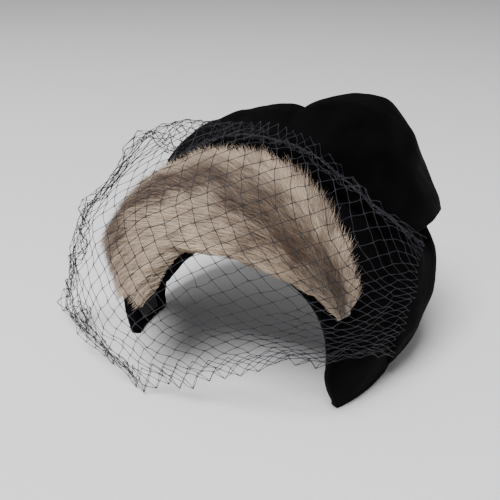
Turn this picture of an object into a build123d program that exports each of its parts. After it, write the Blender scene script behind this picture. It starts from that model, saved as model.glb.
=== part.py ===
from build123d import *
import math
import os

# Fascinator half hat: a velvet band from temple to temple that stands on its two ear tabs, with a
# fur strip along the front edge, a draped velvet bow behind it and a net face veil.
# Millimetres, +Z up, the front of the hat faces -Y and the wearer's left is +X.
# Origin: midway between the two ear tabs, on the surface they stand on.

# ---- the head form: a superellipsoid whose widest level lies above the ears
FORM_Y = 42.0          # centre of the head form, front to back
FORM_Z = 34.0          # level of its widest section
FORM_HALF_W = 81.0     # half width
FORM_HALF_D = 92.0     # half depth
FORM_RISE = 72.0       # from the widest level to the top
FORM_POWER = 2.3       # roundness: 2 is an ellipsoid, more is boxier

# ---- outline of the band, as front and back edge positions along Y
FRONT_CENTRE_Y = -28.0
FRONT_SIDE_Y = -16.0
TIP_SETBACK = 15.0     # how far the front corner of the left tab is rounded back
FLAP_DIP = 18.5        # how far the front edge dips forward over the wearer's right temple
FLAP_RETURN = 38.5     # and how far it goes back again from there to the right tab
BACK_CENTRE_Y = 88.0
BACK_TAB_Y = 36.0      # back corner of each tab
TIP_ANGLE = 118.0      # polar angle of the tab ends about the form's long axis
LOFT_ANGLE = 126.0     # layers run on below the table level and are cut flat there

# ---- thickness of the layers, measured out from the outer face of the foundation
BUCKRAM = 1.6
GAP = 0.25
DOMETTE = 0.8
VELVET = 1.2
LINING = 0.5
RIBBON = 0.9
HIDE = 1.0
PILE = 7.0             # height of the fur over its hide at the middle of the strip
WIRE_R = 0.4
WIRE_END = 4.0         # the wires end this far above the table

# ---- bow of three velvet loops
SKIN = 1.2             # velvet of a loop
STIFF = 0.7            # crinoline inside it

# ---- veil: barrel shaped, about the line through its two tack points, on which it is thrown back
VEIL_Y = 25.0
VEIL_Z = 50.0
VEIL_MID_X = -25.0     # fullest section, off centre to the wearer's right
VEIL_R = 86.0
VEIL_REACH_RIGHT = 90.0   # from the fullest section to the closed end on the wearer's right
VEIL_REACH_LEFT = 125.0
VEIL_RIGHT_X = -112.0
VEIL_LEFT_X = 62.0
VEIL_THICK = 0.5
VEIL_STEP = 1.2        # the moving front is this much larger than the fixed crown part
FRONT_TOP = 44.0       # upper edge of the moving front, degrees above level
CROWN_LOW = 37.0       # lower edge of the fixed part, tucked under the moving front
CROWN_HIGH = 97.0      # gathered edge of the fixed part
HEM_FLAT_X = -22.0     # the hem lies on the table to the wearer's right of this
HEM_RISE = 38.0        # and has risen this much at the wearer's left end


def smooth(t):
    t = min(1.0, max(0.0, t))
    return t * t * (3 - 2 * t)


def k_of(y):
    w = min(0.995, abs((y - FORM_Y) / FORM_HALF_D))
    return (1 - w ** FORM_POWER) ** (1 / FORM_POWER)


def rho0(beta):
    s = abs(math.sin(beta) / FORM_HALF_W)
    c = abs(math.cos(beta) / FORM_RISE)
    return (s ** FORM_POWER + c ** FORM_POWER) ** (-1 / FORM_POWER)


def on_form(beta, y, t):
    """Point t mm outside the form, in the plane at polar angle beta about the Y line."""
    r = rho0(beta) * k_of(y)
    slope = rho0(beta) * (k_of(y + 0.5) - k_of(y - 0.5))
    n = math.hypot(slope, 1)
    yy = y - t * slope / n
    rr = r + t / n
    return (rr * math.sin(beta), yy, FORM_Z + rr * math.cos(beta))


def front_y(beta):
    d = math.degrees(beta)
    a = abs(d)
    side = math.sin(beta) ** 2 if a < 90 else 1.0
    y = FRONT_CENTRE_Y + (FRONT_SIDE_Y - FRONT_CENTRE_Y) * side
    tip = max(0.0, (a - 96) / (TIP_ANGLE - 96)) ** 2
    if d > 4:
        return y + TIP_SETBACK * tip
    dip = (0.8 + 0.2 * smooth((-20 - d) / 20)) * smooth((4 - d) / 26)
    return y - FLAP_DIP * dip + FLAP_RETURN * smooth((-38 - d) / 54) - 4.0 * tip


def back_y(beta):
    a = abs(math.degrees(beta))
    drop = smooth((a - 62) / (TIP_ANGLE - 62))
    return BACK_CENTRE_Y - (BACK_CENTRE_Y - BACK_TAB_Y) * drop


def angles(a0, a1, n):
    return [math.radians(a0 + (a1 - a0) * i / (n - 1)) for i in range(n)]


def closed_section(outer, inner):
    even = [j / (len(outer) - 1) for j in range(len(outer))]
    top = Edge.make_spline([Vector(*p) for p in outer], parameters=even)
    low = Edge.make_spline([Vector(*p) for p in reversed(inner)], parameters=even)
    side_a = Edge.make_line(Vector(*outer[-1]), Vector(*inner[-1]))
    side_b = Edge.make_line(Vector(*inner[0]), Vector(*outer[0]))
    return Wire([top, side_a, low, side_b])


def lofted(sections):
    return Solid.make_loft([closed_section(o, i) for o, i in sections], False)


def cut_flat(shape):
    """Cut a layer off level with the table."""
    return split(shape, bisect_by=Plane.XY, keep=Keep.TOP)


def closer_in_front(v):
    return v * (0.5 + 0.5 * v)


def layer(t0, t1, inset_front=0.0, inset_back=0.0, a0=-LOFT_ANGLE, a1=LOFT_ANGLE, n=37, ny=9,
          y_front=None, y_back=None):
    """A cloth-like layer over the form between t0 and t1."""
    sections = []
    for b in angles(a0, a1, n):
        ya = (y_front or front_y)(b) + inset_front
        yb = (y_back or back_y)(b) - inset_back
        ys = [ya + (yb - ya) * closer_in_front(j / (ny - 1)) for j in range(ny)]
        sections.append(([on_form(b, y, t1) for y in ys], [on_form(b, y, t0) for y in ys]))
    return lofted(sections)


def tube(points, r):
    path = Edge.make_spline([Vector(*p) for p in points])
    start = Plane(origin=path @ 0, z_dir=path % 0)
    return sweep(start * Circle(r), path=path)


os.makedirs("parts", exist_ok=True)


def save(shape, name):
    export_step(shape, "parts/" + name + ".step")


# ======================================================================= the shaped band
EASE = 0.35
T_DOM = GAP
T_VEL = T_DOM + DOMETTE + GAP
T_TOP = T_VEL + VELVET
T_LIN = -BUCKRAM - GAP
T_RIB = T_LIN - LINING - GAP
EDGE = 0.7                       # wall of an edge binding
T_BIND = T_TOP + EASE + EDGE
T_BIND_IN = T_LIN - LINING - EASE - EDGE
N_STATIONS = 37

save(cut_flat(layer(-BUCKRAM, 0, 3.5, 3.2)), "buckram_foundation")
save(cut_flat(layer(T_DOM, T_DOM + DOMETTE, 3.5, 3.2)), "domette_interlining")
save(cut_flat(layer(T_VEL, T_TOP, 2.9, 2.6)), "velvet_cover")
save(cut_flat(layer(T_LIN - LINING, T_LIN, 2.9, 2.6)), "satin_lining")


def ribbon_near(b):
    return front_y(b) + 8.5


def ribbon_far(b):
    return front_y(b) + 26.5


save(cut_flat(layer(T_RIB - RIBBON, T_RIB, ny=7, y_front=ribbon_near, y_back=ribbon_far)),
     "headsize_ribbon")


def wire(edge, sign):
    """Millinery wire in a folded edge, ending a little above the tab ends."""
    sections = []
    for b in angles(-LOFT_ANGLE, LOFT_ANGLE, N_STATIONS):
        upper = []
        lower = []
        for k in range(4):
            a = math.radians(157.5 - 45 * k)
            along = edge(b) + sign * 1.5 + WIRE_R * math.cos(a)
            upper.append(on_form(b, along, 0.1 + WIRE_R * math.sin(a)))
            lower.append(on_form(b, along, 0.1 - WIRE_R * math.sin(a)))
        sections.append((upper, lower))
    return split(lofted(sections), bisect_by=Plane.XY.offset(WIRE_END), keep=Keep.TOP)


save(wire(front_y, 1), "edge_wire_front")
save(wire(back_y, -1), "edge_wire_back")


def binding(edge, sign):
    """Strip of velvet folded over a wired edge: outside, round the edge and back inside."""
    t_out = T_BIND - EDGE
    t_in = T_BIND_IN + EDGE
    mid = (t_out + t_in) / 2
    sections = []
    for b in angles(-LOFT_ANGLE, LOFT_ANGLE, N_STATIONS):
        e = edge(b)

        def at(d, t):
            return on_form(b, e + sign * d, t)

        outer = [at(7.0, T_BIND), at(4.5, T_BIND), at(2.0, T_BIND), at(0.2, T_BIND - 1.0),
                 at(-0.6, mid), at(0.2, T_BIND_IN + 1.0), at(2.0, T_BIND_IN),
                 at(4.5, T_BIND_IN), at(7.0, T_BIND_IN)]
        inner = [at(7.0, t_out), at(4.5, t_out), at(2.2, t_out), at(0.9, t_out - 0.8),
                 at(0.2, mid), at(0.9, t_in + 0.8), at(2.2, t_in), at(4.5, t_in), at(7.0, t_in)]
        sections.append((outer, inner))
    return cut_flat(lofted(sections))


save(binding(front_y, 1), "front_binding")
save(binding(back_y, -1), "back_binding")

# ======================================================================= fur strip
FUR_END_R = -61.0      # the strip ends on the right temple, above the ear tab
FUR_END_L = 70.0       # and stops above the left one
FUR_REAR_Y = 26.0      # back edge of the strip at the centre
T_HIDE = T_BIND + EASE
T_PILE = T_HIDE + HIDE + GAP


def fur_front(b):
    d = math.degrees(b)
    return front_y(b) - 2.0 + 6.0 * smooth((d - 45) / 25) + 5.0 * smooth((-42 - d) / 19)


def fur_rear(b):
    d = math.degrees(b)
    y = FUR_REAR_Y - 32.0 * smooth((d + 6) / 74) - 34.0 * smooth((-d - 8) / 74)
    return max(y, fur_front(b) + 7.0)


def pile_height(b):
    d = math.degrees(b)
    ends = smooth((d - FUR_END_R) / 14) * smooth((FUR_END_L - d) / 16)
    return 1.0 + (PILE - 1.0) * ends


hide = layer(T_HIDE, T_HIDE + HIDE, 3.0, 1.5, FUR_END_R + 2, FUR_END_L - 2, 25, 9, fur_front, fur_rear)
save(hide, "pelt_hide")
pile_sections = []
for b in angles(FUR_END_R, FUR_END_L, 27):
    ya = fur_front(b)
    yb = fur_rear(b)
    high = pile_height(b)
    outer = []
    inner = []
    for j in range(11):
        v = j / 10
        y = ya + (yb - ya) * closer_in_front(v)
        crest = (math.sin(math.pi * (0.04 + 0.92 * v))) ** 0.55
        outer.append(on_form(b, y, T_PILE + 0.8 + (high - 0.8) * crest))
        inner.append(on_form(b, y, T_PILE))
    pile_sections.append((outer, inner))
save(lofted(pile_sections), "fur_pile")


# ======================================================================= velvet bow
def loop(a0, a1, y0, y1, height, n=13):
    """Hollow loop standing on the crown: its velvet skin and the crinoline inside it."""
    def arch(b, dy, dt, base):
        u = (math.degrees(b) - a0) / (a1 - a0)
        mid = (y0(u) + y1(u)) / 2
        half = (y1(u) - y0(u)) / 2 - dy
        pts = []
        for j in range(13):
            th = math.pi * j / 12
            up = math.sin(th) ** 0.8 if 0 < j < 12 else 0.0
            pts.append(on_form(b, mid - half * math.cos(th), base + max(0.5, height(u) - dt) * up))
        return pts

    base = T_BIND + EASE
    skin = []
    stiff = []
    for b in angles(a0, a1, n):
        skin.append((arch(b, 0, 0, base), arch(b, SKIN, SKIN, base)))
        d = SKIN + GAP
        stiff.append((arch(b, d, d, base), arch(b, d + STIFF, d + STIFF, base)))
    return lofted(skin), lofted(stiff)


def between(pairs):
    """Smooth curve through (position, value) pairs, position from 0 to 1."""
    def f(u):
        for (u0, v0), (u1, v1) in zip(pairs[:-1], pairs[1:]):
            if u <= u1 or u1 == pairs[-1][0]:
                return v0 + (v1 - v0) * smooth((u - u0) / (u1 - u0))
    return f


BOW_KNOT_ANGLE = 7.0
BOW_FRONT_Y = 38.0

skin, stiff = loop(-52.0, BOW_KNOT_ANGLE - 5.5,
                   between([(0, 44), (0.5, 38), (1, 44)]), between([(0, 70), (0.5, 87), (1, 82)]),
                   between([(0, 6), (0.28, 18), (0.75, 23), (1, 21)]))
save(skin, "bow_loop_right")
save(stiff, "bow_loop_right_crinoline")
skin, stiff = loop(BOW_KNOT_ANGLE + 5.5, 58.5,
                   between([(0, 44), (0.5, 38), (1, 46)]), between([(0, 84), (0.5, 93), (1, 83)]),
                   between([(0, 26), (0.3, 39), (0.66, 27), (1, 20.5)]))
save(skin, "bow_loop_left")
save(stiff, "bow_loop_left_crinoline")
skin, stiff = loop(65.0, 100.0,
                   between([(0, 40), (0.5, 38), (1, 42)]), between([(0, 80), (0.5, 74), (1, 58)]),
                   between([(0, 8), (0.45, 8), (1, 2.2)]))
save(skin, "bow_drape_side")
save(stiff, "bow_drape_crinoline")

knot = []
for b in angles(BOW_KNOT_ANGLE - 4.5, BOW_KNOT_ANGLE + 4.5, 5):
    across = 1 - 0.12 * abs(math.degrees(b) - BOW_KNOT_ANGLE) / 4.5
    top = []
    low = []
    for j in range(9):
        th = math.pi * j / 8
        y = 63.0 - 23.0 * math.cos(th)
        top.append(on_form(b, y, T_BIND + EASE + 1.0 + 21.0 * across * math.sin(th)))
        low.append(on_form(b, y, T_BIND + EASE))
    knot.append((top, low))
save(lofted(knot), "bow_knot")


# ======================================================================= veil
def veil_r(x):
    reach = VEIL_REACH_RIGHT if x < VEIL_MID_X else VEIL_REACH_LEFT
    power = 1.7 if x < VEIL_MID_X else 2.0
    w = min(0.995, abs(x - VEIL_MID_X) / reach)
    return VEIL_R * (1 - w ** power) ** (1 / power)


def velvet_z(x, y):
    rest = k_of(y) ** FORM_POWER - abs(x / FORM_HALF_W) ** FORM_POWER
    return FORM_Z + FORM_RISE * max(0.0, rest) ** (1 / FORM_POWER)


def about_axis(x, r, deg):
    a = math.radians(deg)
    return (x, VEIL_Y - r * math.cos(a), VEIL_Z + r * math.sin(a))


def hem_z(x):
    return HEM_RISE * smooth((x - HEM_FLAT_X) / (VEIL_LEFT_X - HEM_FLAT_X))


def front_r(x, deg):
    return (veil_r(x) + VEIL_STEP) * (1 - 0.05 * smooth((-10 - deg) / 26))


def hem_angle(x):
    outer = (veil_r(x) + VEIL_STEP) * 0.955 + VEIL_THICK
    return -math.degrees(math.asin(min(0.74, (VEIL_Z - hem_z(x) - 0.05) / outer)))


def crown_r(x, deg):
    full = veil_r(x)
    end = (velvet_z(x, VEIL_Y + 8) + T_TOP + 3.5 - VEIL_Z) / math.sin(math.radians(CROWN_HIGH))
    return full - (full - end) * smooth((deg - 68) / (CROWN_HIGH - 68))


def sheet(x0, x1, nx, radius, low, high, na=13):
    sections = []
    for i in range(nx):
        x = x0 + (x1 - x0) * i / (nx - 1)
        a0 = low(x)
        a1 = high(x)
        outer = []
        inner = []
        for j in range(na):
            deg = a0 + (a1 - a0) * j / (na - 1)
            r = radius(x, deg)
            outer.append(about_axis(x, r + VEIL_THICK, deg))
            inner.append(about_axis(x, r, deg))
        sections.append((outer, inner))
    return lofted(sections)


save(sheet(VEIL_RIGHT_X, VEIL_LEFT_X, 21, front_r, hem_angle, lambda x: FRONT_TOP), "veil_front")
save(sheet(-66.0, 58.0, 17, crown_r, lambda x: CROWN_LOW, lambda x: CROWN_HIGH), "veil_crown")

# net running on over the wearer's left of the band, down to its hem on the ear tab
save(layer(T_BIND + EASE, T_BIND + EASE + VEIL_THICK, 3.0, 0, 74.0, 104.0, 9, 7, None,
           lambda b: 36.0), "veil_side")

# bunched net along the gathering line, with the thread that draws it up
roll = []
thread = []
for b in angles(-44, 50, 13):
    roll.append(on_form(b, VEIL_Y + 10.0, T_TOP + 1.9))
    thread.append(on_form(b, VEIL_Y + 12.0, T_TOP + 1.2))
save(tube(roll, 1.2), "veil_gathers")
save(tube(thread, 0.35), "gathering_thread")

hem = []
for i in range(13):
    x = -84.0 + 140.0 * i / 12
    deg = hem_angle(x) + 1.6
    hem.append(about_axis(x, front_r(x, deg) - 0.9, deg))
save(tube(hem, 0.5), "veil_hem_cord")
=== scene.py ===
import math
import bpy
import numpy as np
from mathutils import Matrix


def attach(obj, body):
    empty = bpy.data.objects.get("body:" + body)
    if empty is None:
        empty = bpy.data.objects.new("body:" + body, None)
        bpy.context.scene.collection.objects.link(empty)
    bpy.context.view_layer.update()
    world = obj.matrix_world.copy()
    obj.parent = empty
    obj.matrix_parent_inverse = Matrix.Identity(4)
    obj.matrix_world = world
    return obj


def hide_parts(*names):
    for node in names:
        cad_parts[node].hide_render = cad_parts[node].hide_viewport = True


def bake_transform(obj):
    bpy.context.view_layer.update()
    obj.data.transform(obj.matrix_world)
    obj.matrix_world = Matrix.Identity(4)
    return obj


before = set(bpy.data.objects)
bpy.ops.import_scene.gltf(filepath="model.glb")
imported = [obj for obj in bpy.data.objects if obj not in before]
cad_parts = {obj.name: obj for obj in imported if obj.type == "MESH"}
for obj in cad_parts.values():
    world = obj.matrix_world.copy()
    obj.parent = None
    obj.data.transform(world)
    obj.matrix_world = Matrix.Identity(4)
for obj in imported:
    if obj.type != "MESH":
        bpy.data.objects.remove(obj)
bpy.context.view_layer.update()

# Velvet half hat with a fur strip, a draped bow and a net veil. Metres in the scene; the shape
# functions below work in millimetres, in the frame of the CAD: +Z up, front to -Y.
MM = 0.001
rng = np.random.default_rng(7)

# ------------------------------------------------------------------ the head form, as in the CAD
FORM_Y, FORM_Z = 42.0, 34.0
FORM_W, FORM_D, FORM_H, FORM_P = 81.0, 92.0, 72.0, 2.3
T_VELVET = 2.5         # outer face of the velvet, out from the foundation
T_HIDE = 5.15          # outer face of the pelt's hide
FOOT_Z = 0.02          # level of the turned velvet under the ear tabs


def smooth(t):
    """Eases from 0 to 1 as t goes from 0 to 1."""
    t = np.clip(t, 0.0, 1.0)
    return t * t * (3 - 2 * t)


def form_k(y):
    """Share of its full girth that the form has at depth y."""
    w = np.minimum(0.995, np.abs((y - FORM_Y) / FORM_D))
    return (1 - w ** FORM_P) ** (1 / FORM_P)


def form_rho(b):
    """Radius of the form's widest section at polar angle b."""
    s = np.abs(np.sin(b) / FORM_W)
    c = np.abs(np.cos(b) / FORM_H)
    return (s ** FORM_P + c ** FORM_P) ** (-1 / FORM_P)


def on_form(b, y, t):
    """Points t outside the form at polar angle b (radians) and depth y."""
    b, y, t = np.broadcast_arrays(np.asarray(b, float), np.asarray(y, float), np.asarray(t, float))
    rho = form_rho(b)
    slope = rho * (form_k(y + 0.5) - form_k(y - 0.5))
    n = np.hypot(slope, 1)
    r = rho * form_k(y) + t / n
    return np.stack([r * np.sin(b), y - t * slope / n, FORM_Z + r * np.cos(b)], -1)


def front_y(b):
    """Front edge: straight over the crown, dipping forward over the wearer's right temple."""
    d = np.degrees(b)
    a = np.abs(d)
    side = np.where(a < 90, np.sin(b) ** 2, 1.0)
    y = -28 + 12 * side
    tip = np.maximum(0, (a - 96) / 22) ** 2
    dip = (0.8 + 0.2 * smooth((-20 - d) / 20)) * smooth((4 - d) / 26)
    return np.where(d > 4, y + 15 * tip, y - 18.5 * dip + 38.5 * smooth((-38 - d) / 54) - 4 * tip)


def back_y(b):
    """Back edge: level over the crown, running forward to the ear tabs."""
    return 88 - 52 * smooth((np.abs(np.degrees(b)) - 62) / 56)


# ------------------------------------------------------------------ mesh helpers
def mesh_object(name, verts, faces, mat):
    """Smooth-shaded object from points in millimetres and faces of any size."""
    me = bpy.data.meshes.new(name)
    verts = np.asarray(verts, float)
    me.from_pydata((verts * MM).tolist(), [], [list(map(int, f)) for f in faces])
    me.validate()
    me.update()
    ob = bpy.data.objects.new(name, me)
    bpy.context.scene.collection.objects.link(ob)
    me.materials.append(mat)
    me.polygons.foreach_set("use_smooth", [True] * len(me.polygons))
    return ob


def tinted_mesh(name, verts, quads, mat, tint):
    """Large mesh of four-sided faces from arrays, with a colour for each point."""
    me = bpy.data.meshes.new(name)
    verts = np.asarray(verts, np.float32) * MM
    quads = np.asarray(quads, np.int32)
    n, k = quads.shape
    me.vertices.add(len(verts))
    me.vertices.foreach_set("co", verts.ravel())
    me.loops.add(n * k)
    me.loops.foreach_set("vertex_index", quads.ravel())
    me.polygons.add(n)
    me.polygons.foreach_set("loop_start", np.arange(0, n * k, k, dtype=np.int32))
    me.polygons.foreach_set("use_smooth", np.ones(n, bool))
    me.update(calc_edges=True)
    layer = me.attributes.new("tint", "FLOAT_COLOR", "POINT")
    layer.data.foreach_set("color", np.asarray(tint, np.float32).ravel())
    ob = bpy.data.objects.new(name, me)
    bpy.context.scene.collection.objects.link(ob)
    me.materials.append(mat)
    return ob


def grid_faces(nu, nv, wrap_v=False):
    """Faces of a grid of nu rows of nv points, closed into tubes where wrap_v is true."""
    u = np.arange(nu - 1)
    v = np.arange(nv if wrap_v else nv - 1)
    uu, vv = np.meshgrid(u, v, indexing="ij")
    a = uu * nv + vv
    b = (uu + 1) * nv + vv
    c = (uu + 1) * nv + (vv + 1) % nv
    d = uu * nv + (vv + 1) % nv
    return np.stack([a, b, c, d], -1).reshape(-1, 4)


def wave_noise(p, scale, seed, n=24):
    """Smooth seeded noise: a sum of plane waves over points p (..., 3) in mm."""
    g = np.random.default_rng(seed)
    k = g.normal(size=(n, 3)) * 2 * math.pi / scale
    ph = g.uniform(0, 2 * math.pi, n)
    return np.cos(p @ k.T + ph).sum(-1) / math.sqrt(n / 2)


# ------------------------------------------------------------------ materials
def node_material(name, base, rough):
    m = bpy.data.materials.new(name)
    m.use_nodes = True
    bsdf = m.node_tree.nodes["Principled BSDF"]
    bsdf.inputs["Base Color"].default_value = (*base, 1)
    bsdf.inputs["Roughness"].default_value = rough
    return m, m.node_tree, bsdf


def noise(nt, scale, detail=4.0, rough=0.5, stretch=None):
    """Noise over the object's own coordinates; stretch scales them along X, Y and Z first."""
    tc = nt.nodes.new("ShaderNodeTexCoord")
    out = tc.outputs["Object"]
    if stretch:
        mp = nt.nodes.new("ShaderNodeMapping")
        mp.inputs["Scale"].default_value = stretch
        nt.links.new(out, mp.inputs["Vector"])
        out = mp.outputs["Vector"]
    n = nt.nodes.new("ShaderNodeTexNoise")
    n.inputs["Scale"].default_value = scale
    n.inputs["Detail"].default_value = detail
    n.inputs["Roughness"].default_value = rough
    nt.links.new(out, n.inputs["Vector"])
    return n.outputs["Fac"]


def ramp(nt, fac, stops):
    """Colour ramp through (position, colour) stops."""
    r = nt.nodes.new("ShaderNodeValToRGB")
    el = r.color_ramp.elements
    el[0].position, el[0].color = stops[0][0], (*stops[0][1], 1)
    el[1].position, el[1].color = stops[-1][0], (*stops[-1][1], 1)
    for pos, col in stops[1:-1]:
        e = el.new(pos)
        e.color = (*col, 1)
    nt.links.new(fac, r.inputs["Fac"])
    return r.outputs["Color"]


def bump(nt, bsdf, height, strength, distance):
    b = nt.nodes.new("ShaderNodeBump")
    b.inputs["Strength"].default_value = strength
    b.inputs["Distance"].default_value = distance
    nt.links.new(height, b.inputs["Height"])
    nt.links.new(b.outputs["Normal"], bsdf.inputs["Normal"])


def math_node(nt, op, a, b):
    """Arithmetic on two values, each a number or a node's output."""
    n = nt.nodes.new("ShaderNodeMath")
    n.operation = op
    for i, v in enumerate((a, b)):
        if isinstance(v, (int, float)):
            n.inputs[i].default_value = v
        else:
            nt.links.new(v, n.inputs[i])
    return n.outputs[0]


def velvet_material(name, base=0.0018, sheen=0.03):
    """Silk-pile velvet: nearly black face on, lighter where it is seen edge on or brushed."""
    m, nt, bsdf = node_material(name, (base, base, base * 1.15), 0.85)
    crush = noise(nt, 38.0, 3.0, 0.55)
    col = ramp(nt, crush, [(0.3, (base * 0.5,) * 3), (0.62, (base * 1.3, base * 1.3, base * 1.5)),
                           (0.8, (base * 2.6, base * 2.6, base * 2.9))])
    nt.links.new(col, bsdf.inputs["Base Color"])
    bsdf.inputs["Specular IOR Level"].default_value = 0.02
    bsdf.inputs["Sheen Roughness"].default_value = 0.38
    bsdf.inputs["Sheen Tint"].default_value = (0.62, 0.62, 0.68, 1)
    wt = math_node(nt, "MULTIPLY", noise(nt, 60.0, 4.0, 0.6), sheen)
    nt.links.new(wt, bsdf.inputs["Sheen Weight"])
    fine = noise(nt, 2600.0, 2.0, 0.7)
    mid = noise(nt, 170.0, 4.0, 0.6)
    h = math_node(nt, "ADD", fine, math_node(nt, "MULTIPLY", mid, 1.1))
    bump(nt, bsdf, h, 0.25, 0.0005)
    return m


VELVET = velvet_material("velvet")
VELVET_EDGE = velvet_material("velvet_edge", 0.002, 0.03)


def cloth_material(name, dark, light, scale, rough, weave_bump, sheen=0.0):
    """Woven cloth: colour varied by a soft noise, relief from a fine weave."""
    m, nt, bsdf = node_material(name, dark, rough)
    col = ramp(nt, noise(nt, scale, 5.0, 0.6), [(0.3, dark), (0.7, light)])
    nt.links.new(col, bsdf.inputs["Base Color"])
    if sheen:
        bsdf.inputs["Sheen Weight"].default_value = sheen
    tc = nt.nodes.new("ShaderNodeTexCoord")
    w = nt.nodes.new("ShaderNodeTexWave")
    w.inputs["Scale"].default_value = 420.0
    w.inputs["Distortion"].default_value = 0.6
    nt.links.new(tc.outputs["Object"], w.inputs["Vector"])
    h = math_node(nt, "ADD", w.outputs["Fac"], noise(nt, 1500.0, 2.0, 0.7))
    bump(nt, bsdf, h, weave_bump, 0.0004)
    return m


SATIN = cloth_material("lining_satin", (0.008, 0.008, 0.010), (0.016, 0.016, 0.020),
                       scale=90.0, rough=0.34, weave_bump=0.15)
RIBBON = cloth_material("grosgrain", (0.010, 0.010, 0.011), (0.022, 0.022, 0.024),
                        scale=120.0, rough=0.7, weave_bump=0.8, sheen=0.1)
BUCKRAM = cloth_material("buckram", (0.50, 0.45, 0.35), (0.66, 0.61, 0.50),
                         scale=160.0, rough=0.9, weave_bump=0.9)
DOMETTE = cloth_material("domette", (0.60, 0.58, 0.52), (0.75, 0.73, 0.68),
                         scale=200.0, rough=0.95, weave_bump=0.5, sheen=0.3)
CRINOLINE = cloth_material("crinoline", (0.02, 0.02, 0.02), (0.05, 0.05, 0.05),
                           scale=260.0, rough=0.8, weave_bump=0.9)
HIDE = cloth_material("hide", (0.45, 0.36, 0.26), (0.62, 0.52, 0.40),
                      scale=70.0, rough=0.75, weave_bump=0.25)


def thread_material(name, dark, light, rough=0.5):
    """Black nylon thread: twisted and dull, with a little shine."""
    m, nt, bsdf = node_material(name, dark, rough)
    col = ramp(nt, noise(nt, 900.0, 3.0, 0.6), [(0.35, dark), (0.75, light)])
    nt.links.new(col, bsdf.inputs["Base Color"])
    bsdf.inputs["Specular IOR Level"].default_value = 0.25
    bump(nt, bsdf, noise(nt, 4200.0, 2.0, 0.6, stretch=(1, 1, 3)), 0.5, 0.0002)
    return m


NET = thread_material("veil_thread", (0.006, 0.006, 0.009), (0.026, 0.026, 0.034))
SEWING = thread_material("sewing_thread", (0.008, 0.008, 0.009), (0.03, 0.03, 0.032), 0.6)


def wire_material():
    """Millinery wire: steel lapped in dull black cotton."""
    m, nt, bsdf = node_material("millinery_wire", (0.02, 0.02, 0.02), 0.55)
    col = ramp(nt, noise(nt, 700.0, 3.0, 0.6),
               [(0.3, (0.012, 0.012, 0.012)), (0.8, (0.06, 0.06, 0.06))])
    nt.links.new(col, bsdf.inputs["Base Color"])
    bump(nt, bsdf, noise(nt, 2600.0, 2.0), 0.6, 0.0002)
    return m


WIRE = wire_material()


def fur_material(name, gain):
    """Hair: each strand carries its own tint, scaled by gain, with a soft gloss; a gain under 1
    darkens the copy as painted shade.
    """
    m, nt, bsdf = node_material(name, (0.5, 0.4, 0.3), 0.52)
    at = nt.nodes.new("ShaderNodeAttribute")
    at.attribute_name = "tint"
    var = ramp(nt, noise(nt, 520.0, 3.0, 0.6),
               [(0.25, (0.78 * gain,) * 3), (0.75, (1.12 * gain,) * 3)])
    mx = nt.nodes.new("ShaderNodeMix")
    mx.data_type = "RGBA"
    mx.blend_type = "MULTIPLY"
    mx.inputs[0].default_value = 1.0
    nt.links.new(at.outputs["Color"], mx.inputs[6])
    nt.links.new(var, mx.inputs[7])
    nt.links.new(mx.outputs[2], bsdf.inputs["Base Color"])
    bsdf.inputs["Specular IOR Level"].default_value = 0.35
    bsdf.inputs["Sheen Weight"].default_value = 0.15
    return m


FUR = fur_material("fur_hair", 1.0)
# the underwool is the hair material darkened to 0.8: painted shade beneath the hairs
FUR_UNDER_SHADED = fur_material("fur_underwool", 0.8)

for node, mat in (("buckram_foundation", BUCKRAM), ("domette_interlining", DOMETTE),
                  ("edge_wire_front", WIRE), ("edge_wire_back", WIRE), ("pelt_hide", HIDE),
                  ("bow_loop_right_crinoline", CRINOLINE), ("bow_loop_left_crinoline", CRINOLINE),
                  ("bow_drape_crinoline", CRINOLINE)):
    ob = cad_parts[node]
    ob.data.materials.clear()
    ob.data.materials.append(mat)


# ------------------------------------------------------------------ the velvet band
BAND_END = 110.0       # polar angle, in degrees, that the search for the band's ends starts from
NAP = 0.25             # how far the velvet's pile stands over the cloth
# the velvet's turning: (distance in from the edge, distance out from the foundation)
TURNING = [(-0.5, 2.3), (-0.95, 1.6), (-1.15, 0.4), (-1.15, -1.2), (-0.9, -2.6), (-0.3, -3.4),
           (0.8, -3.75), (3.0, -3.8), (5.2, -3.75), (6.8, -3.5), (6.9, -2.6)]
EDGE_IN = 0.3          # the velvet's outer face starts this far in from the band's edges
FACE_LOW = 1.3         # and ends this far above the table, where the turning takes over
T_LINING = -2.3        # the lining, inside the foundation
LINING_IN, LINING_LOW = 3.0, 3.2       # its distance from the band's edges and from the table
RIBBON_IN, RIBBON_W = 7.2, 18.0        # the ribbon's distance from the front edge, and its width


def band_limit(y, t, z_min):
    """Polar angle at which a layer at depth y reaches the level z_min."""
    lo = np.full(np.shape(y), math.radians(95.0))
    hi = np.full(np.shape(y), math.radians(140.0))
    for _ in range(24):
        mid = (lo + hi) / 2
        above = on_form(mid, y, t)[..., 2] > z_min
        lo = np.where(above, mid, lo)
        hi = np.where(above, hi, mid)
    return lo


def band_grid(t, nu, nv, inset, z_min):
    """(beta, y) grids of the band, inset from both edges and cut level at the bottom."""
    u = np.linspace(-1, 1, nu)[:, None]
    v = np.linspace(0, 1, nv)[None, :]
    b = np.broadcast_to(u * math.radians(BAND_END), (nu, nv)).copy()
    for _ in range(12):
        ya = front_y(b) + inset
        yb = back_y(b) - inset
        y = ya + (yb - ya) * v
        b = u * band_limit(y, t, z_min)
    return b, y


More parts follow.
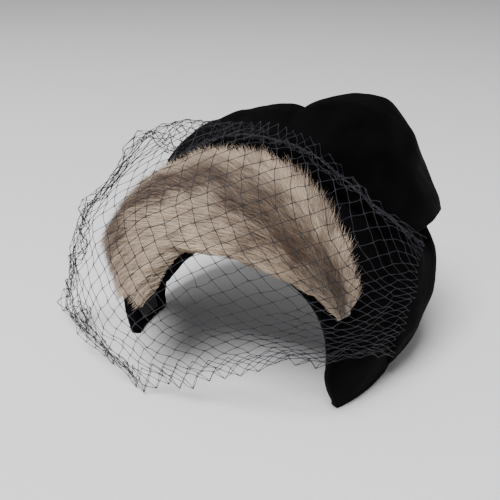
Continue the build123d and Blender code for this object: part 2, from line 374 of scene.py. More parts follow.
def band_shell():
    """Velvet stretched over the band and turned over its wired edges to the inside."""
    nu, nv = 181, 41
    b, y = band_grid(T_VELVET, nu, nv, EDGE_IN, FACE_LOW)
    face = on_form(b, y, T_VELVET + NAP)
    n = face - on_form(b, y, T_VELVET + NAP - 1)
    n /= np.linalg.norm(n, axis=-1, keepdims=True)
    face = face + n * (0.22 * wave_noise(face, 34.0, 3))[..., None]
    mid = on_form(b, y, 0.0)
    # the perimeter, in order, and the way in from it
    ii = np.concatenate([np.arange(nu), np.full(nv - 2, nu - 1), np.arange(nu)[::-1],
                         np.zeros(nv - 2, int)])
    jj = np.concatenate([np.zeros(nu, int), np.arange(1, nv - 1), np.full(nu, nv - 1),
                         np.arange(1, nv - 1)[::-1]])
    rim = mid[ii, jj]
    rim_n = n[ii, jj]
    foot = (ii == 0) | (ii == nu - 1)      # the two level feet the hat stands on
    along = np.roll(rim, -1, 0) - np.roll(rim, 1, 0)
    along /= np.linalg.norm(along, axis=-1, keepdims=True)
    inward = np.cross(rim_n, along)
    within = mid[(ii * 0.9 + nu * 0.05).astype(int), (jj * 0.5 + nv * 0.25).astype(int)]
    inward *= np.sign(((within - rim) * inward).sum(-1, keepdims=True))
    for _ in range(3):
        inward = (np.roll(inward, 1, 0) + inward * 2 + np.roll(inward, -1, 0)) / 4
    inward /= np.linalg.norm(inward, axis=-1, keepdims=True)
    rings = [face[ii, jj]]
    pucker = 0.18 * wave_noise(rim, 9.0, 4)
    for k, (d, t) in enumerate(TURNING):
        ring = rim + inward * d + rim_n * (t + (pucker * min(1, k / 4))[:, None])
        if d < 0:
            ring[foot, 2] = FOOT_Z
        rings.append(ring)
    rings = np.array(rings)
    m = len(ii)
    verts = np.concatenate([face.reshape(-1, 3), rings[1:].reshape(-1, 3)])
    faces = [tuple(q) for q in grid_faces(nu, nv)]
    first = ii * nv + jj
    for r in range(len(TURNING)):
        for k in range(m):
            k2 = (k + 1) % m
            if r == 0:
                a, c = first[k], first[k2]
            else:
                a, c = nu * nv + (r - 1) * m + k, nu * nv + (r - 1) * m + k2
            faces.append((c, a, nu * nv + r * m + k, nu * nv + r * m + k2))
    ob = mesh_object("velvet_band", verts, faces, VELVET)
    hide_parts("velvet_cover", "front_binding", "back_binding")
    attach(ob, "hat")


def lining():
    """Satin inside the foundation, a little in from all its edges."""
    nu, nv = 121, 25
    b, y = band_grid(T_LINING, nu, nv, LINING_IN, LINING_LOW)
    p = on_form(b, y, T_LINING)
    n = on_form(b, y, -1.3) - p
    p = p + n * (0.12 * wave_noise(p, 16.0, 9))[..., None]
    ob = mesh_object("satin_lining_cloth", p.reshape(-1, 3), grid_faces(nu, nv), SATIN)
    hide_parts("satin_lining")
    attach(ob, "hat")


def ribbon():
    """Grosgrain head-size ribbon inside the front edge: a rib at every other station."""
    nu, nv = 361, 9
    u = np.linspace(-1, 1, nu)[:, None]
    v = np.linspace(0, 1, nv)[None, :]
    b = u * math.radians(112.0)
    y = front_y(b) + RIBBON_IN + RIBBON_W * v
    rib = 0.14 * np.cos(np.arange(nu) * math.pi)[:, None]
    outer = on_form(b, y, -3.0 + 0 * v)
    inner = on_form(b, y, -4.4 + rib + 0 * v)
    w = np.concatenate([outer, inner[:, ::-1]], 1)
    faces = grid_faces(nu, 2 * nv, wrap_v=True)
    ob = mesh_object("headsize_grosgrain", w.reshape(-1, 3), faces, RIBBON)
    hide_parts("headsize_ribbon")
    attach(ob, "hat")


band_shell()
lining()
ribbon()


# ------------------------------------------------------------------ fur
FUR_END_R, FUR_END_L = -61.0, 70.0     # polar angles of the strip's ends, in degrees
FUR_REAR_Y = 26.0      # rear edge of the strip at the crown
FUR_NARROWEST = 7.0    # width of the strip at its ends
PILE_AT_ENDS, PILE_RISE = 1.0, 6.0     # height of the pile at the ends, and how much it gains
STRIP_W = 46.0         # mean width of the strip, in the coordinates of its colours and locks
HAIR_POINTS = 4        # points along a hair
HAIR_TAPER = [1.0, 0.95, 0.6, 0.12]    # width along a hair
HAIR_ROOT_SHADE_TIP_LIGHT = [0.62, 0.85, 1.02, 1.15]  # brightness along a hair: painted shade at the root, deep in the pile, and painted light towards the tip


def fur_front(b):
    """Front edge of the strip, just over the band's own front edge."""
    d = np.degrees(b)
    return front_y(b) - 2.0 + 6.0 * smooth((d - 45) / 25) + 5.0 * smooth((-42 - d) / 19)


def fur_rear(b):
    """Rear edge of the strip, nearing the front edge towards both ends."""
    d = np.degrees(b)
    y = FUR_REAR_Y - 32.0 * smooth((d + 6) / 74) - 34.0 * smooth((-d - 8) / 74)
    return np.maximum(y, fur_front(b) + FUR_NARROWEST)


def pile_height(b):
    """How high the pile stands over the hide, lower at the strip's ends."""
    d = np.degrees(b)
    ends = smooth((d - FUR_END_R + 4) / 14) * smooth((FUR_END_L + 4 - d) / 16)
    return PILE_AT_ENDS + PILE_RISE * ends * (1 - 0.2 * smooth((-d - 30) / 15))


CREAM = np.array([0.47, 0.365, 0.27])      # flanks
BROWN = np.array([0.085, 0.053, 0.035])    # back stripe


def fur_tint(d, v, jitter):
    """Colour across and along the strip: a darker back stripe between pale flanks."""
    left = smooth((d + 10) / 60)
    stripe = 1.1 * np.exp(-((v - 0.56 + 0.10 * left) / (0.20 + 0.16 * left)) ** 2)
    low = 0.42 * smooth((-d - 18) / 34) * smooth((0.95 - v) / 0.5)
    along = np.stack(np.broadcast_arrays(d * 0.30, v * STRIP_W, 0 * d), -1)
    streak = 0.20 * wave_noise(along, 7.0, 81, 40) + 0.10 * wave_noise(along, 2.6, 82, 40)
    m = np.clip(0.06 + stripe + low + streak + jitter * 0.15, 0, 1)[..., None]
    return CREAM * (1 - m) + BROWN * m


def fur_underlayer():
    """Dense underwool: one surface at half the height of the pile, under the hairs, its tint
    darkened as painted shade.
    """
    nu, nv = 150, 40
    b = np.radians(np.linspace(FUR_END_R - 1, FUR_END_L + 1, nu))[:, None]
    v = np.linspace(0.0, 1.0, nv)[None, :]
    y = fur_front(b) + (fur_rear(b) - fur_front(b)) * v
    crest = np.sin(math.pi * (0.02 + 0.96 * v)) ** 0.6
    t = T_HIDE + 0.2 + pile_height(b) * 0.5 * crest
    p = on_form(b, y, t)
    n = on_form(b, y, t + 1) - p
    p = p + n * (0.35 * wave_noise(p, 9.0, 12))[..., None]
    bb, vv = np.broadcast_arrays(np.degrees(b), v)
    # painted shade: the underwool's tint is darkened to three quarters beneath the hairs
    col = fur_tint(bb, vv, rng.normal(size=bb.shape)) * 0.75
    col = np.concatenate([col, np.ones((*bb.shape, 1))], -1).reshape(-1, 4)
    ob = tinted_mesh("fur_underwool", p.reshape(-1, 3), grid_faces(nu, nv), FUR_UNDER_SHADED, col)
    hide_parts("fur_pile")
    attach(ob, "hat")


def fur_strands(name, count, length, lift, width, seed, over=0.0):
    """Hairs that lie along the strip towards its low end and fan out over both edges.

    lift is their height as a share of the pile's, and over how far past the edges they start.
    """
    g = np.random.default_rng(seed)
    d = g.uniform(FUR_END_R + 9.0, FUR_END_L - 0.5, count)
    v = g.uniform(0.0 - over, 1.0 + over, count)
    b = np.radians(d)
    ya, yb = fur_front(b), fur_rear(b)
    wide = yb - ya
    y = ya + wide * v
    fan = np.where(v > 0.5, ((v - 0.5) * 2) ** 2 * 0.95, -((0.5 - v) * 2) ** 2 * 0.55)
    place = np.stack([d * 0.5, v * STRIP_W, 0 * d], -1)
    fan = fan + g.normal(0, 0.10, count) + 0.12 * wave_noise(place, 9.0, 83, 40)
    # the strip's low end splays down over the ear tab
    low_end = smooth((-d - 40) / 20)
    fan = fan - 0.45 * low_end * (1 - v)
    # length: longer at both edges, and short enough to stop at the strip's low end
    ln = length * g.uniform(0.6, 1.15, count) * (0.8 + 0.2 * np.sin(math.pi * np.clip(v, 0, 1)))
    ln = ln * (1 + 0.35 * smooth((v - 0.86) / 0.1) + 0.25 * smooth((0.12 - v) / 0.1))
    to_end = np.maximum(0, b - math.radians(FUR_END_R + 4.0))
    ln = np.minimum(ln, 4.0 + form_rho(b) * form_k(y) * to_end)
    ln = ln * (0.55 + 0.45 * smooth(wide / 40))
    high = pile_height(b) * lift * g.uniform(0.55, 1.1, count)
    high = high * (1 + 0.18 * wave_noise(place, 6.0, 84, 40))
    high = high * (1 - 0.5 * smooth((-d - 5) / 20) * smooth((0.4 - v) / 0.35))
    curl = g.normal(0, 0.10, count)
    steps = np.linspace(0, 1, HAIR_POINTS)
    # on the steep front of the form a step in depth covers more of the surface
    r = form_rho(b) * form_k(y)
    steep = np.hypot(form_rho(b) * (form_k(y + 0.5) - form_k(y - 0.5)), 1.0)
    flap = smooth((-d - 18) / 20)
    pts = []
    for s in steps:
        turn = fan + curl * s
        along = np.cos(turn) * ln * s
        across = np.sin(turn) * ln * s / steep
        bs = b - along / np.maximum(r, 20)
        ys = np.maximum(y + across, ya - 3.0 + 5.0 * flap)
        ts = T_HIDE + 0.3 + high * (1 - (1 - s) ** 1.7) - 1.6 * s * s * np.abs(fan)
        ts = T_HIDE + (ts - T_HIDE) * (1 - 0.4 * s * s * flap * smooth((0.5 - v) / 0.4))
        pts.append(on_form(bs, ys, ts))
    pts = np.array(pts)
    pts = pts + (g.normal(0, 0.25, pts.shape) * steps[:, None, None])
    pts[..., 2] = np.maximum(pts[..., 2], 0.4)
    direction = pts[-1] - pts[0]
    direction /= np.linalg.norm(direction, axis=-1, keepdims=True)
    n = on_form(b, y, 6.0) - on_form(b, y, 5.0)
    side = np.cross(direction, n + g.normal(0, 0.45, n.shape))
    side /= np.linalg.norm(side, axis=-1, keepdims=True)
    w = width * g.uniform(0.7, 1.3, count)[:, None]
    rows = []
    for p, taper in zip(pts, HAIR_TAPER):
        rows.append(p - side * w * taper / 2)
        rows.append(p + side * w * taper / 2)
    verts = np.stack(rows, 1).reshape(-1, 3)
    base = np.arange(count)[:, None] * 2 * HAIR_POINTS
    quads = np.concatenate([base + np.array([0, 1, 3, 2]) + 2 * k for k in range(HAIR_POINTS - 1)])
    tint = fur_tint(d, np.clip(v, 0, 1), g.normal(size=count))
    # painted shade and light along each hair: darker at the root, brighter at the tip
    shade = np.repeat(HAIR_ROOT_SHADE_TIP_LIGHT, 2)[None, :, None]
    col = np.clip(tint[:, None, :] * shade * g.uniform(0.85, 1.12, (count, 1, 1)), 0, 1)
    col = np.concatenate([col, np.ones((count, 2 * HAIR_POINTS, 1))], -1).reshape(-1, 4)
    ob = tinted_mesh(name, verts, quads, FUR, col)
    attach(ob, "hat")


fur_underlayer()
FUR_N = 30000
fur_strands("fur_hair_a", FUR_N, length=12.0, lift=0.95, width=0.28, seed=21)
fur_strands("fur_hair_b", FUR_N, length=16.0, lift=1.15, width=0.22, seed=22, over=0.01)


# ------------------------------------------------------------------ velvet bow
def curve(pairs, u):
    """Smooth curve through (position, value) pairs."""
    xs = np.array([p[0] for p in pairs], float)
    vs = np.array([p[1] for p in pairs], float)
    h = np.diff(xs)
    n = len(xs)
    a = np.eye(n)
    r = np.zeros(n)
    for i in range(1, n - 1):
        a[i, i - 1:i + 2] = h[i - 1], 2 * (h[i - 1] + h[i]), h[i]
        r[i] = 3 * ((vs[i + 1] - vs[i]) / h[i] - (vs[i] - vs[i - 1]) / h[i - 1])
    c = np.linalg.solve(a, r)
    u = np.clip(u, xs[0], xs[-1])
    k = np.clip(np.searchsorted(xs, u, side="right") - 1, 0, n - 2)
    d = u - xs[k]
    b = (vs[k + 1] - vs[k]) / h[k] - h[k] * (2 * c[k] + c[k + 1]) / 3
    return vs[k] + b * d + c[k] * d ** 2 + (c[k + 1] - c[k]) / (3 * h[k]) * d ** 3


BOW_SHAPES = []        # footprint and height of each piece, for the net that lies over it


def bow_piece(name, node, a0, a1, y0, y1, height, tip, pleats, seed, squeeze=0.72):
    """A folded loop of velvet standing on the crown between polar angles a0 and a1.

    y0, y1 and height are curves along it: its front and back edge and how far it stands up. tip
    holds the ends that are rounded shut. squeeze under 1 makes its back broader.
    """
    nu, nt_ = 121, 97
    u = np.linspace(0, 1, nu)[:, None]
    th = np.linspace(0, math.pi, nt_)[None, :]
    b = np.radians(a0 + (a1 - a0) * u)
    mid = (curve(y0, u) + curve(y1, u)) / 2
    half = (curve(y1, u) - curve(y0, u)) / 2
    h = curve(height, u)

    def closing(u):
        shut = np.ones_like(u)
        for end, width in tip:
            x = (1 - u) if end == 1 else u
            shut = shut * np.sqrt(np.clip(1 - (1 - np.clip(x / width, 0, 1)) ** 2, 0.0004, 1))
        return shut

    shut = closing(u)
    BOW_SHAPES.append((a0, a1, y0, y1, height, closing, squeeze))
    rise = np.sin(th) ** squeeze
    y = mid - half * np.cos(th) * (0.55 + 0.45 * shut)
    t = T_VELVET + 0.4 + h * shut * rise
    # pleats that run out of the knot and die away towards the open part of the loop
    for count, depth, where, phase in pleats:
        fade = np.exp(-((u - where[0]) / where[1]) ** 2)
        t = t + depth * fade * np.cos(count * th + phase + 1.6 * u) * rise
    p = on_form(b, y, t)
    n = on_form(b, y, t + 1) - p
    p = p + n * (wave_noise(p, 46.0, seed) * 0.6 * rise * shut
                 + wave_noise(p, 17.0, seed + 1) * 0.10 * rise * shut)[..., None]
    # the hidden underside closes the piece
    under = on_form(b, mid - half * np.cos(th) * (0.5 + 0.4 * shut), T_VELVET + 0.35 + 0 * u * th)
    w = np.concatenate([p, under[:, ::-1]], 1)
    ob = mesh_object(name, w.reshape(-1, 3), grid_faces(nu, 2 * nt_, wrap_v=True), VELVET)
    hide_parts(node)
    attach(ob, "hat")


bow_piece("bow_right", "bow_loop_right", -55, 7, [(0, 42), (0.3, 38), (0.7, 38), (1, 43)],
          [(0, 68), (0.4, 86), (0.8, 87), (1, 82)],
          [(0, 12), (0.25, 18), (0.42, 21), (0.63, 24.5), (0.85, 27), (1, 25)], [(0, 0.09)],
          [(5, 0.9, (1.0, 0.4), 0.6), (9, 0.5, (1.0, 0.25), 2.0)], 31)
bow_piece("bow_left", "bow_loop_left", 6, 60.5, [(0, 40), (0.3, 34), (0.75, 35), (1, 40)],
          [(0, 82), (0.4, 94), (0.8, 92), (1, 84)],
          [(0, 29), (0.11, 36), (0.26, 41.5), (0.41, 42.5), (0.54, 37), (0.7, 29), (0.86, 25),
           (1, 22)],
          [(1, 0.035)],
          [(3, 2.0, (0.1, 0.5), 0.4), (5, 1.2, (0.0, 0.4), 1.3), (4, 1.1, (0.75, 0.25), 2.4)], 41,
          0.58)
bow_piece("bow_drape", "bow_drape_side", 56, 107, [(0, 30), (0.4, 26), (0.8, 27), (1, 30)],
          [(0, 86), (0.4, 78), (0.8, 60), (1, 50)],
          [(0, 9), (0.25, 11.5), (0.5, 9.5), (0.8, 5.5), (1, 3.0)], [(1, 0.16)],
          [(5, 1.1, (0.0, 0.4), 0.9), (3, 1.3, (0.45, 0.3), 0.0)], 51, 0.5)


def bow_knot():
    """Narrow band of velvet wrapped over the pinch between the loops."""
    nu, nv = 41, 49
    u = np.linspace(-1, 1, nu)[:, None]
    th = np.linspace(0, math.pi, nv)[None, :]
    b = np.radians(6.5 + 6.0 * u)
    t = (T_VELVET + 1.0 + 22.0 * np.sin(th) ** 0.8 * (1 - 0.16 * u ** 2)
         + 0.5 * np.cos(9 * u) * np.sin(th))
    y = 63 - 25 * np.cos(th) + 0 * u
    p = on_form(b, y, t)
    p = p + (0.3 * wave_noise(p, 8.0, 61))[..., None]
    low = on_form(b, y * 0.97 + 2, T_VELVET + 0.6 + 0 * u * th)
    w = np.concatenate([p, low[:, ::-1]], 1)
    faces = grid_faces(nu, 2 * nv, wrap_v=True)
    ob = mesh_object("bow_knot_wrap", w.reshape(-1, 3), faces, VELVET_EDGE)
    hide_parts("bow_knot")
    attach(ob, "hat")


bow_knot()


# ------------------------------------------------------------------ veil
# guide shape: rows from the gathering line down to the hem, each from the wearer's right to left,
# with GUIDE_Q the share of the way down of each row and GUIDE_P the share of the way across
GUIDE_Q = [0.0, 0.07, 0.18, 0.34, 0.50, 0.66, 0.83, 1.0]
GUIDE_P = [0.0, 0.14, 0.32, 0.50, 0.68, 0.84, 1.0]
GUIDE = [
    [(-48, 33, 112), (-36, 36, 121), (-14, 38, 131), (10, 39, 132),
     (34, 40, 126), (62, 40, 108), (92, 42, 84)],
    [(-50, 28, 108), (-38, 30, 115), (-16, 30, 124), (8, 30, 125),
     (34, 30, 119), (61, 30, 103), (92, 38, 80)],
    [(-58, 10, 121), (-40, 10, 131), (-16, 12, 137), (12, 14, 135),
     (42, 16, 124), (68, 20, 108), (93, 34, 76)],
    [(-75, -9, 98), (-60, -10, 112), (-34, -16, 121), (0, -20, 120),
     (38, -16, 111), (70, -3, 92), (93, 30, 67)],
    [(-93, -11, 71), (-79, -24, 84), (-50, -38, 96), (-10, -46, 98),
     (38, -40, 90), (74, -16, 75), (92, 28, 57)],
    [(-94, -11, 49), (-83, -31, 55), (-54, -50, 64), (-12, -56, 68),
     (38, -48, 69), (75, -20, 60), (90, 28, 46)],
    [(-117, -9, 24), (-90, -28, 22), (-52, -48, 28), (-14, -54, 38),
     (32, -45, 50), (74, -23, 50), (87, 28, 33)],
    [(-108, -6, 1), (-80, -20, 1), (-40, -40, 1), (-8, -43, 8),
     (28, -35, 25), (64, -27, 39), (84, 28, 19)],
]


def guide(p, q):
    """Point of the smooth guide shape at p along the hem and q down from the gathering line."""
    p = np.clip(np.asarray(p, float), 0, 1)
    q = np.clip(np.asarray(q, float), 0, 1)
    g = np.array(GUIDE, float)
    rows = np.array([[curve(list(zip(GUIDE_P, row[:, c])), p) for c in range(3)] for row in g])
    out = np.zeros((*p.shape, 3))
    flat_q = q.ravel()
    rows = rows.reshape(len(g), 3, -1)
    # cubic interpolation down the rows, point by point, by blending basis curves
    basis = []
    for r in range(len(g)):
        unit = [(GUIDE_Q[k], 1.0 if k == r else 0.0) for k in range(len(g))]
        basis.append(curve(unit, flat_q))
    basis = np.array(basis)
    for c in range(3):
        out[..., c] = (rows[:, c, :] * basis).sum(0).reshape(p.shape)
    return out


MESH_SIDE = 8.0        # length of a thread between two knots
LONGEST, SHORTEST = 1.06, 0.60         # how far a side may stretch or go slack, as shares of that
COLS = 27              # meshes across
ROWS = 40              # half rows of meshes from the gathering line to the hem
TURN = 3               # half rows turned back up behind the hem
FOLD = 2.0             # meshes folded back at the wearer's right end
RELAX_STEPS = 160
THREAD_R = 0.15
KNOT_R = 0.31
# how far off the velvet, the fur, the table and the bow the net lies
OVER_VELVET, OVER_FUR, OVER_TABLE, OFF_BOW = 4.5, 14.0, 0.7, 1.4
BOW_DEPTH = 16.0       # knots up to this far inside the bow's front are brought out before it


def veil_lattice():
    """Knots of the diamond net, as shares of the way across and down, and the threads between."""
    idx = -np.ones((ROWS + TURN + 1, COLS + 1), int)
    pq = []
    for j in range(ROWS + TURN + 1):
        for i in range(COLS + (0 if j % 2 else 1)):
            idx[j, i] = len(pq)
            pq.append(((i + 0.5 * (j % 2)) / COLS, j / ROWS))
    edges = []
    for j in range(ROWS + TURN):
        for i in range(COLS + (0 if j % 2 else 1)):
            for k in ((i, i + 1) if j % 2 else (i - 1, i)):
                if 0 <= k < COLS + (0 if (j + 1) % 2 else 1):
                    edges.append((idx[j, i], idx[j + 1, k]))
    return np.array(pq), np.array(edges)


def veil_points():
    """First place of each knot: on the guide shape, with gathers, ruffles and a rippled hem."""
    pq, edges = veil_lattice()
    p, q = pq[:, 0], pq[:, 1]
    turned = q > 1.0
    qq = np.where(turned, 2.0 - q, q)
    # the cut end on the wearer's right is folded back over itself
    cell = p * COLS
    folded = cell < FOLD
    pp = np.where(folded, 2 * FOLD - cell, cell) - FOLD
    pp = pp / (COLS - FOLD)
    base = guide(pp, qq)
    e = 0.004
    du = guide(pp + e, qq) - guide(pp - e, qq)
    dv = guide(pp, qq + e) - guide(pp, qq - e)
    n = np.cross(du, dv)
    n /= np.maximum(1e-6, np.linalg.norm(n, axis=-1, keepdims=True))
    centre = np.array([-5.0, 30.0, 45.0])
    n *= np.sign(((base - centre) * n).sum(-1, keepdims=True))
    # gathers under the gathering line, ruffled left edge, rippled hem
    head = np.exp(-qq / 0.10)
    wave = 2.6 * head * np.cos(p * COLS * 2.1 + 3.0 * np.sin(p * 9)) * smooth(qq / 0.03)
    left = np.exp(-((cell - FOLD) / 1.7) ** 2) * smooth((q - 0.05) / 0.15)
    wave = wave + left * (3.4 * np.cos(q * 27 + 0.6) + 2.0 * np.cos(q * 53 + cell))
    wave = wave - np.where(folded, 2.2, 0) * smooth((q - 0.02) / 0.1)
    hem = np.exp(-(1 - qq) / 0.07) * np.where(q > 0.5, 1, 0)
    wave = wave + hem * (2.2 * np.cos(p * 44) + 1.4 * np.cos(p * 27 + 1))
    wave = wave - turned * 2.6
    wave = wave + 0.9 * wave_noise(base, 26.0, 71, 20)
    x = base + n * wave[:, None]
    x = x + rng.normal(0, 0.35, x.shape) * smooth(qq / 0.05)[:, None]
    return q, edges, x


def bow_height(b, y):
    """How far the bow stands above the form at polar angle b and depth y."""
    high = np.zeros(np.shape(b))
    for a0, a1, y0, y1, height, shut, squeeze in BOW_SHAPES:
        u = (np.degrees(b) - a0) / (a1 - a0)
        over = (u > 0) & (u < 1)
        u = np.clip(u, 0, 1)
        mid = (curve(y0, u) + curve(y1, u)) / 2
        half = (curve(y1, u) - curve(y0, u)) / 2
        s = shut(u)
        c = (mid - y) / (half * (0.55 + 0.45 * s) + 1.0)
        rise = np.maximum(0, 1 - c * c) ** (squeeze / 2)
        here = np.where(over & (np.abs(c) < 1), 2.9 + curve(height, u) * s * rise, 0)
        high = np.maximum(high, here)
    return high


def before_bow(x, b, form, r):
    """Moves points that are just inside the front of the bow to before it."""
    for a0, a1, y0, y1, height, shut, squeeze in BOW_SHAPES:
        u = (np.degrees(b) - a0) / (a1 - a0)
        over = (u > -0.02) & (u < 1.02)
        u = np.clip(u, 0, 1)
        s = shut(u)
        mid = (curve(y0, u) + curve(y1, u)) / 2
        front = mid - (curve(y1, u) - curve(y0, u)) / 2 * (0.55 + 0.45 * s) - OFF_BOW
        inside = over & (x[:, 1] > front) & (x[:, 1] < front + BOW_DEPTH)
        inside &= r < form + curve(height, u) * s * 0.96 + 2.9
        x[:, 1] = np.where(inside, front, x[:, 1])
    return x


def push_out(x, loose):
    """Keeps the net off the velvet, the fur, the bow and the table."""
    rel = x - np.array([0, 0, FORM_Z])
    b = np.arctan2(rel[:, 0], rel[:, 2])
    r = np.hypot(rel[:, 0], rel[:, 2])
    d = np.degrees(b)
    on_band = (x[:, 1] > front_y(b) - 2) & (np.abs(d) < 118)
    form = form_rho(b) * form_k(np.clip(x[:, 1], -46, 120))
    x = before_bow(x, b, form, r)
    need = form + np.maximum(OVER_VELVET, bow_height(b, x[:, 1]) + OFF_BOW)
    in_fur = (d > FUR_END_R - 4) & (d < FUR_END_L + 4)
    in_fur &= (x[:, 1] < fur_rear(b) + 3) & (x[:, 1] > fur_front(b) - 3)
    need = np.where(in_fur, form + OVER_FUR, need)
    inside = (r < need) & (on_band | in_fur)
    s = np.where(inside & loose, need / np.maximum(r, 1), 1.0)
    x[:, 0] = rel[:, 0] * s
    x[:, 2] = FORM_Z + rel[:, 2] * s
    x[:, 2] = np.maximum(x[:, 2], OVER_TABLE)
    return x


def relax_veil():
    """Lets the net settle: threads near their length, knots near the guide and off the hat."""
    q, edges, x = veil_points()
    loose = q > 0.001
    hold = np.where(q < 0.06, 0.5, 0.045)[:, None]
    target = x.copy()
    a, c = edges[:, 0], edges[:, 1]
    deg = np.bincount(edges.ravel(), minlength=len(x))[:, None]
    for _ in range(RELAX_STEPS):
        d = x[c] - x[a]
        ln = np.linalg.norm(d, axis=1, keepdims=True)
        over = np.maximum(0, ln - MESH_SIDE * LONGEST)
        under = np.minimum(0, ln - MESH_SIDE * SHORTEST)
        corr = d / np.maximum(ln, 1e-6) * (over + 0.5 * under) * 0.5
        move = np.zeros_like(x)
        np.add.at(move, a, corr)
        np.add.at(move, c, -corr)
        x = x + move / deg * 1.6 * loose[:, None]
        x = x + (target - x) * hold
        x = push_out(x, loose)
    return edges, x


def tubes(starts, ends, bow, radius):
    """Open tubes of thread from starts to ends, each bowed sideways a little."""
    sides, parts = 5, 3
    d = ends - starts
    ln = np.linalg.norm(d, axis=1, keepdims=True)
    d = d / np.maximum(ln, 1e-9)
    helper = np.where(np.abs(d[:, 2:3]) > 0.9, [[1.0, 0, 0]], [[0, 0, 1.0]])
    s = np.cross(d, helper)
    s /= np.linalg.norm(s, axis=1, keepdims=True)
    t = np.cross(d, s)
    rings = []
    for k in range(parts + 1):
        f = k / parts
        c = starts + (ends - starts) * f + bow * (4 * f * (1 - f))
        thick = radius * (1.0 + 0.55 * (abs(2 * f - 1) ** 6))
        for j in range(sides):
            an = 2 * math.pi * j / sides
            rings.append(c + (s * math.cos(an) + t * math.sin(an)) * thick)
    v = np.stack(rings, 1)
    n = len(starts)
    m = (parts + 1) * sides
    quads = []
    for k in range(parts):
        for j in range(sides):
            quads.append([k * sides + j, k * sides + (j + 1) % sides,
                          (k + 1) * sides + (j + 1) % sides, (k + 1) * sides + j])
    quads = np.arange(n)[:, None, None] * m + np.array(quads)[None]
    return v.reshape(-1, 3), quads.reshape(-1, 4)


def knots(points, radius):
    """Small octahedral lumps where the threads are tied."""
    o = np.array([[1, 0, 0], [-1, 0, 0], [0, 1, 0], [0, -1, 0], [0, 0, 1], [0, 0, -1]], float)
    f = [[0, 2, 4], [2, 1, 4], [1, 3, 4], [3, 0, 4], [2, 0, 5], [1, 2, 5], [3, 1, 5], [0, 3, 5]]
    v = points[:, None, :] + o[None] * radius
    f = np.arange(len(points))[:, None, None] * 6 + np.array(f)[None]
    return v.reshape(-1, 3), f.reshape(-1, 3)


def build_veil():
    """The whole net: a tube for each thread and a lump for each knot."""
    edges, ties = relax_veil()
    a, c = ties[edges[:, 0]], ties[edges[:, 1]]
    bow = rng.normal(0, 0.28, a.shape)
    v, f = tubes(a, c, bow, THREAD_R)
    kv, kf = knots(ties, KNOT_R)
    verts = np.concatenate([v, kv])
    faces = [tuple(r) for r in f] + [tuple(r) for r in kf + len(v)]
    ob = mesh_object("veil_net", verts, faces, NET)
    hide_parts("veil_crown", "veil_front", "veil_side", "veil_hem_cord")
    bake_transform(ob)


build_veil()


def cord(name, pts, radius, mat):
    """Closed tube along points; radius is one number or one for each point."""
    sides = 8
    pts = np.asarray(pts, float)
    n = len(pts)
    tan = np.gradient(pts, axis=0)
    tan /= np.linalg.norm(tan, axis=1, keepdims=True)
    s = np.cross(tan, [0.0, 1.0, 0.15])
    s /= np.linalg.norm(s, axis=1, keepdims=True)
    t = np.cross(tan, s)
    an = np.linspace(0, 2 * math.pi, sides, endpoint=False)
    radius = np.broadcast_to(radius, (n,))[:, None, None]
    cos, sin = np.cos(an)[None, :, None], np.sin(an)[None, :, None]
    ring = pts[:, None] + radius * (s[:, None] * cos + t[:, None] * sin)
    v = ring.reshape(-1, 3)
    faces = [tuple(q) for q in grid_faces(n, sides, wrap_v=True)]
    faces.append(tuple(range(sides))[::-1])
    faces.append(tuple((n - 1) * sides + k for k in range(sides)))
    return mesh_object(name, v, faces, mat)


def gathers():
    """Bunched net drawn up on its thread along the back of the fur."""
    ps = np.linspace(0, 1, 260)
    g = guide(ps, np.full_like(ps, 0.06))
    g[:, 1] += 1.0
    puckers = np.stack([np.cos(ps * 310), np.sin(ps * 230), np.sin(ps * 370)], 1)
    roll = cord("veil_gathers_roll", g + 0.5 * puckers, 0.42 + 0.14 * np.cos(ps * 520), NET)
    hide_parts("veil_gathers")
    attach(roll, "hat")
    beside = g + np.array([0, 0.9, 0.2])
    twist = np.stack([0 * ps, np.sin(ps * 300), np.cos(ps * 300)], 1)
    th = cord("gathering_thread_run", beside + 0.25 * twist, 0.22, SEWING)
    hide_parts("gathering_thread")
    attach(th, "hat")


gathers()


# ------------------------------------------------------------------ room, light and camera
FLOOR_HALF = 6.0
KEY_AT, KEY_SIZE, KEY_POWER = (0.10, -1.12, 2.00), 1.0, 110.0
FILL_AT, FILL_SIZE, FILL_POWER = (-0.9, -0.4, 1.1), 1.4, 4.0
LIGHT_TARGET = (0, 0, 0.05)
WORLD_GREY, WORLD_STRENGTH = 0.80, 0.32


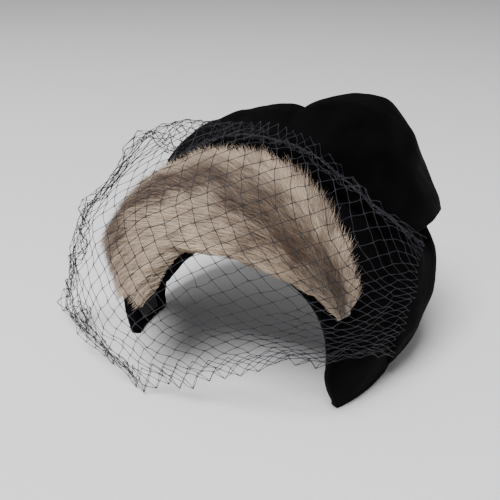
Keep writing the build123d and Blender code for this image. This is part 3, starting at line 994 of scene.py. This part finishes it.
def add_floor():
    """Plain pale table the hat stands on."""
    me = bpy.data.meshes.new("floor")
    s = FLOOR_HALF
    me.from_pydata([(-s, -s, 0), (s, -s, 0), (s, s, 0), (-s, s, 0)], [], [(0, 1, 2, 3)])
    ob = bpy.data.objects.new("floor", me)
    bpy.context.scene.collection.objects.link(ob)
    m, nt, bsdf = node_material("pale_table", (0.69, 0.69, 0.695), 0.75)
    col = ramp(nt, noise(nt, 900.0, 3.0, 0.7),
               [(0.3, (0.64, 0.64, 0.65)), (0.7, (0.74, 0.74, 0.75))])
    nt.links.new(col, bsdf.inputs["Base Color"])
    me.materials.append(m)


def add_light(name, loc, size, power):
    """Square soft light at loc, turned towards the middle of the hat."""
    li = bpy.data.lights.new(name, "AREA")
    li.size = size
    li.energy = power
    ob = bpy.data.objects.new(name, li)
    ob.location = loc
    d = np.array(LIGHT_TARGET) - np.array(loc)
    tilt = math.atan2(math.hypot(d[0], d[1]), -d[2])
    ob.rotation_euler = (tilt, 0, math.atan2(d[1], d[0]) - math.pi / 2)
    bpy.context.scene.collection.objects.link(ob)


add_floor()
add_light("key", KEY_AT, KEY_SIZE, KEY_POWER)
add_light("fill", FILL_AT, FILL_SIZE, FILL_POWER)
world = bpy.data.worlds.new("studio")
bpy.context.scene.world = world
world.use_nodes = True
sky = world.node_tree.nodes["Background"]
sky.inputs["Color"].default_value = (WORLD_GREY, WORLD_GREY, WORLD_GREY, 1)
sky.inputs["Strength"].default_value = WORLD_STRENGTH

CAM_AZ, CAM_EL = 30.45, 25.0           # where it looks from, in degrees
CAM_AT = (0.1883, -0.2984, 0.2369)
CAM_SENSOR, CAM_LENS = 36.0, 53.3      # millimetres
cam_data = bpy.data.cameras.new("camera")
cam_data.sensor_width = CAM_SENSOR
cam_data.lens = CAM_LENS
cam = bpy.data.objects.new("camera", cam_data)
cam.location = CAM_AT
cam.rotation_euler = (math.radians(90 - CAM_EL), 0, math.radians(CAM_AZ))
bpy.context.scene.collection.objects.link(cam)
bpy.context.scene.camera = cam
